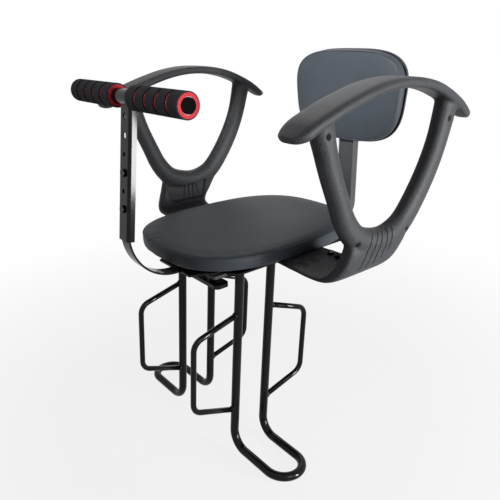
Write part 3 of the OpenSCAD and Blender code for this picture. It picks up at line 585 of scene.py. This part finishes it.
def cut_face_details(arm, sign):
    cutter = bmesh.new()
    cuts = groove_boxes(cutter, arm, sign * OUTSIDE, -sign, GROOVES, GROOVE_DEPTH)
    cuts += groove_boxes(cutter, arm, 0, sign, INNER_GROOVES, INNER_DEPTH)
    for y, z in HOLES:
        x = face_x(arm, sign * OUTSIDE, -sign, y / 1000, z / 1000)
        if x is None:
            continue
        pin = bmesh.ops.create_cone(cutter, cap_ends=True, segments=28, radius1=HOLE_R, radius2=HOLE_R,
                                    depth=HOLE_DEPTH * 2)["verts"]
        bmesh.ops.rotate(cutter, verts=pin, cent=(0, 0, 0), matrix=Matrix.Rotation(QUARTER, 3, "Y"))
        bmesh.ops.translate(cutter, verts=pin, vec=(x, y / 1000, z / 1000))
        cuts += 1
    wall = abs(face_x(arm, sign * OUTSIDE, -sign, *WALL_AT) - face_x(arm, 0, sign, *WALL_AT))
    print("wall at the grooves: %.1f mm" % (wall * 1000))
    cutter_piece = loose(cutter)
    cut = arm.modifiers.new("details", "BOOLEAN")
    cut.operation, cut.solver, cut.use_self, cut.object = "DIFFERENCE", "EXACT", True, cutter_piece
    bake_modifiers(arm)
    bpy.data.objects.remove(cutter_piece)
    return cuts


for side, sign in (("left", 1), ("right", -1)):
    arm = relaxed_arm(side, "arm_" + side)
    print("armrest", side, "cuts:", cut_face_details(arm, sign), "faces:", len(arm.data.polygons))

# %% [markdown]
# ## Handlebar plugs
# Each end of the tube holds a thin plastic cup, with a rim that lies on the tube's end. A disc is drawn up
# for the rim, inset, and drawn down into the tube for the cup. Drawing down leaves the inset disc in place,
# so it still closes the cup, and the end shows it as a flat dark disc. The cups' near-black finish is painted
# shade: the disc stands for the dark inside of the open tube end.


# %% Handlebar plugs
tube_low, tube_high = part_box("handlebar_tube")
bar_mid = (tube_low + tube_high) / 2
PLUG_RIM, RIM_HEIGHT, PLUG_WALL, CUP_DEPTH = 0.0095, 0.0012, 0.0020, 0.009
cups = bmesh.new()
rim = bmesh.ops.create_circle(cups, cap_ends=True, segments=48, radius=PLUG_RIM)["verts"]


def drawn_out(shape, face, push):
    fresh = bmesh.ops.extrude_face_region(shape, geom=[face])["geom"]
    top = next(g for g in fresh if isinstance(g, bmesh.types.BMFace))
    bmesh.ops.translate(shape, verts=top.verts, vec=(0, 0, push))
    return top


face = drawn_out(cups, rim[0].link_faces[0], RIM_HEIGHT)
bmesh.ops.inset_region(cups, faces=[face], thickness=PLUG_WALL, use_even_offset=True)
face = drawn_out(cups, face, -CUP_DEPTH)
to_end = Matrix.Translation((tube_high.x, bar_mid.y, bar_mid.z)) @ Matrix.Rotation(QUARTER, 4, "Y")
bmesh.ops.transform(cups, verts=cups.verts, matrix=to_end)
other = bmesh.ops.duplicate(cups, geom=cups.verts[:] + cups.edges[:] + cups.faces[:])["geom"]
other_verts = [g for g in other if isinstance(g, bmesh.types.BMVert)]
bar_centre = (0, bar_mid.y, bar_mid.z)
bmesh.ops.rotate(cups, verts=other_verts, cent=bar_centre, matrix=Matrix.Rotation(math.pi, 3, "Z"))
# The cups take the near-black painted-shade finish, so the flat disc at each end reads as the shaded hollow
# of the tube.
plugs = piece_from(cups, "tube_end_cups", cup_black_and_painted_hole_shade, ["tube_plugs"], smooth=False)
print("plugs:", len(plugs.data.polygons), "faces")

# %% [markdown]
# ## Guard rods
# A guard is one bent rod, welded to its leg at both ends. A circle is drawn out along the rod and spun round
# each corner, just as the real rod is bent. A flattened ball makes each weld bead.

# %% Guard rods
HOOP_X, HOOP_Y, PLATE_Z = 0.079, -0.049, 0.005
HOOP_HALF, LEAN = 0.031, math.radians(4)
ROD_R, REACH, HEIGHT, DROP, BEND_R = 0.0045, 0.082, 0.172, 0.069, 0.020
BEAD_OUT, BEAD_R, BEAD_SHAPE, ROD_MERGE = 0.0066, 1.28, (1, 0.55, 1.05), 0.00001
SLOPE = math.radians(18)
TURN = QUARTER - SLOPE


def bent_rod():
    shape = bmesh.new()
    ring = bmesh.ops.create_circle(shape, cap_ends=False, segments=20, radius=ROD_R)["verts"]
    out = Vector((0, math.cos(SLOPE), -math.sin(SLOPE)))
    to_run = Vector((0, 0, 1)).rotation_difference(out).to_matrix()
    bmesh.ops.rotate(shape, verts=ring, cent=(0, 0, 0), matrix=to_run)
    bmesh.ops.translate(shape, verts=ring, vec=(0, 0, HEIGHT / 2))
    edges = shape.edges[:]
    trim = BEND_R * math.tan(TURN / 2)
    arm_run = REACH / math.cos(SLOPE) - trim
    upright = HEIGHT - 2 * REACH * math.tan(SLOPE) - 2 * trim
    heading = out
    for length, turn in ((arm_run, TURN), (upright, TURN), (arm_run, 0)):
        drawn = bmesh.ops.extrude_edge_only(shape, edges=edges)["geom"]
        verts = [g for g in drawn if isinstance(g, bmesh.types.BMVert)]
        edges = [g for g in drawn if isinstance(g, bmesh.types.BMEdge)]
        bmesh.ops.translate(shape, verts=verts, vec=heading * length)
        if turn:
            middle = sum((v.co for v in verts), Vector()) / len(verts)
            inward = Vector((0, heading.z, -heading.y))
            spun = bmesh.ops.spin(shape, geom=edges, cent=middle + inward * BEND_R, axis=(-1, 0, 0),
                                  dvec=(0, 0, 0), angle=turn, steps=10, use_merge=False)
            edges = [g for g in spun["geom_last"] if isinstance(g, bmesh.types.BMEdge)]
            heading = Matrix.Rotation(turn, 3, Vector((-1, 0, 0))) @ heading
    bmesh.ops.remove_doubles(shape, verts=shape.verts, dist=ROD_MERGE)
    bmesh.ops.holes_fill(shape, edges=[e for e in shape.edges if e.is_boundary], sides=0)
    return shape


def weld_bead(shape, height):
    bead = bmesh.ops.create_uvsphere(shape, u_segments=20, v_segments=10, radius=ROD_R * BEAD_R)["verts"]
    bmesh.ops.scale(shape, vec=BEAD_SHAPE, verts=bead)
    bmesh.ops.translate(shape, verts=bead, vec=(0, BEAD_OUT, height))


for side, sign in (("left", 1), ("right", -1)):
    for name, way in (("front", -1), ("rear", 1)):
        rod = bent_rod()
        for end in (1, -1):
            weld_bead(rod, end * (HEIGHT / 2 - BEAD_OUT * math.tan(SLOPE)))
        if way < 0:
            bmesh.ops.rotate(rod, verts=rod.verts, cent=(0, 0, 0), matrix=Matrix.Rotation(math.pi, 3, "Z"))
        bmesh.ops.translate(rod, verts=rod.verts, vec=(0, way * HOOP_HALF, -DROP - HEIGHT / 2))
        bmesh.ops.rotate(rod, verts=rod.verts, cent=(0, 0, 0), matrix=Matrix.Rotation(-LEAN, 3, "X"))
        bmesh.ops.translate(rod, verts=rod.verts, vec=(sign * HOOP_X, HOOP_Y, PLATE_Z))
        node = "guard_" + name + "_" + side
        piece_from(rod, "guard_rod_" + name + "_" + side, gloss_coat, [node])
        lo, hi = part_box(node)
        print(node, "CAD", [round(c, 3) for c in (*lo, *hi)])

# %% [markdown]
# ## Floor, light and finish
# A white floor and world stand behind the dark parts. The floor shows mostly its own white and keeps a faint
# shadow near the seat. A tall strip and a smaller lamp light the seat from its left side, a narrow one lights
# the backrest from the front, and one fills in from behind.


# %% The rays that see the background: the camera's, and those in shiny and clear parts
def background_rays(tree):
    path = tree.nodes.new("ShaderNodeLightPath")
    total = path.outputs["Is Camera Ray"]
    for kind in ("Is Glossy Ray", "Is Transmission Ray"):
        join = tree.nodes.new("ShaderNodeMath")
        join.operation = "MAXIMUM"
        tree.links.new(total, join.inputs[0])
        tree.links.new(path.outputs[kind], join.inputs[1])
        total = join.outputs["Value"]
    return total


# %% Floor
FLOOR_SIZE, FLOOR_GAP, FLOOR_GREY = 6, 0.001, (0.42, 0.42, 0.42, 1)
NEAR, FAR, NEAR_SHARE, FAR_SHARE = 0.45, 1.1, 0.84, 1.0
floor_shape = bmesh.new()
bmesh.ops.create_grid(floor_shape, x_segments=2, y_segments=2, size=FLOOR_SIZE)
floor_z = cad_box[0][2] - FLOOR_GAP
bmesh.ops.translate(floor_shape, verts=floor_shape.verts, vec=(0, 0, floor_z))
floor = loose(floor_shape, "floor")
floor_paint = bpy.data.materials.new("floor_paint")
floor_paint.use_nodes = True
floor_tree = floor_paint.node_tree
matt = floor_tree.nodes["Principled BSDF"]
matt.inputs["Base Color"].default_value = FLOOR_GREY
matt.inputs["Roughness"].default_value = 0.95
matt.inputs["Specular IOR Level"].default_value = 0.0
glow = floor_tree.nodes.new("ShaderNodeEmission")
spot = floor_tree.nodes.new("ShaderNodeTexCoord")
away = floor_tree.nodes.new("ShaderNodeVectorMath")
away.operation = "LENGTH"
share = floor_tree.nodes.new("ShaderNodeMapRange")
share.inputs["From Min"].default_value, share.inputs["From Max"].default_value = NEAR, FAR
share.inputs["To Min"].default_value, share.inputs["To Max"].default_value = NEAR_SHARE, FAR_SHARE
shown = floor_tree.nodes.new("ShaderNodeMath")
shown.operation = "MULTIPLY"
mixed = floor_tree.nodes.new("ShaderNodeMixShader")
floor_tree.links.new(spot.outputs["Object"], away.inputs[0])
floor_tree.links.new(away.outputs["Value"], share.inputs["Value"])
floor_tree.links.new(share.outputs["Result"], shown.inputs[0])
floor_tree.links.new(background_rays(floor_tree), shown.inputs[1])
floor_tree.links.new(shown.outputs["Value"], mixed.inputs["Fac"])
floor_tree.links.new(matt.outputs["BSDF"], mixed.inputs[1])
floor_tree.links.new(glow.outputs["Emission"], mixed.inputs[2])
floor_tree.links.new(mixed.outputs["Shader"], floor_tree.nodes["Material Output"].inputs["Surface"])
floor.data.materials.append(floor_paint)

# %% World
WORLD_LIGHT, WORLD_SEEN = 0.12, 1.0
world = bpy.data.worlds.new("studio")
bpy.context.scene.world = world
world.use_nodes = True
sky = world.node_tree.nodes["Background"]
sky.inputs["Color"].default_value = (1, 1, 1, 1)
level = world.node_tree.nodes.new("ShaderNodeMapRange")
level.inputs["To Min"].default_value = WORLD_LIGHT
level.inputs["To Max"].default_value = WORLD_SEEN
world.node_tree.links.new(background_rays(world.node_tree), level.inputs["Value"])
world.node_tree.links.new(level.outputs["Result"], sky.inputs["Strength"])


# %% Lamps
def soft_lamp(name, place, aim, width, height, power, spread=180):
    data = bpy.data.lights.new(name, "AREA")
    data.shape, data.size, data.size_y, data.energy = "RECTANGLE", width, height, power
    data.spread = math.radians(spread)
    lamp = bpy.data.objects.new(name, data)
    facing = (Vector(aim) - Vector(place)).to_track_quat("-Z", "Y").to_matrix().to_4x4()
    lamp.matrix_world = Matrix.Translation(Vector(place)) @ facing
    bpy.context.scene.collection.objects.link(lamp)


soft_lamp("strip", (1.5, 0.6, -0.05), (0.1, 0, 0), 0.30, 0.9, 54)
soft_lamp("side", (1.4, -0.1, 0.35), (-0.2, 0, 0.1), 0.5, 0.5, 6)
soft_lamp("front", (0.15, -1.3, 1.1), (0, 0.22, 0.25), 0.4, 0.3, 1.2, spread=14)
soft_lamp("back", (-1.1, 1.0, 1.1), (0, 0, 0.1), 0.7, 0.7, 3)
bpy.context.scene.view_settings.view_transform = "Standard"
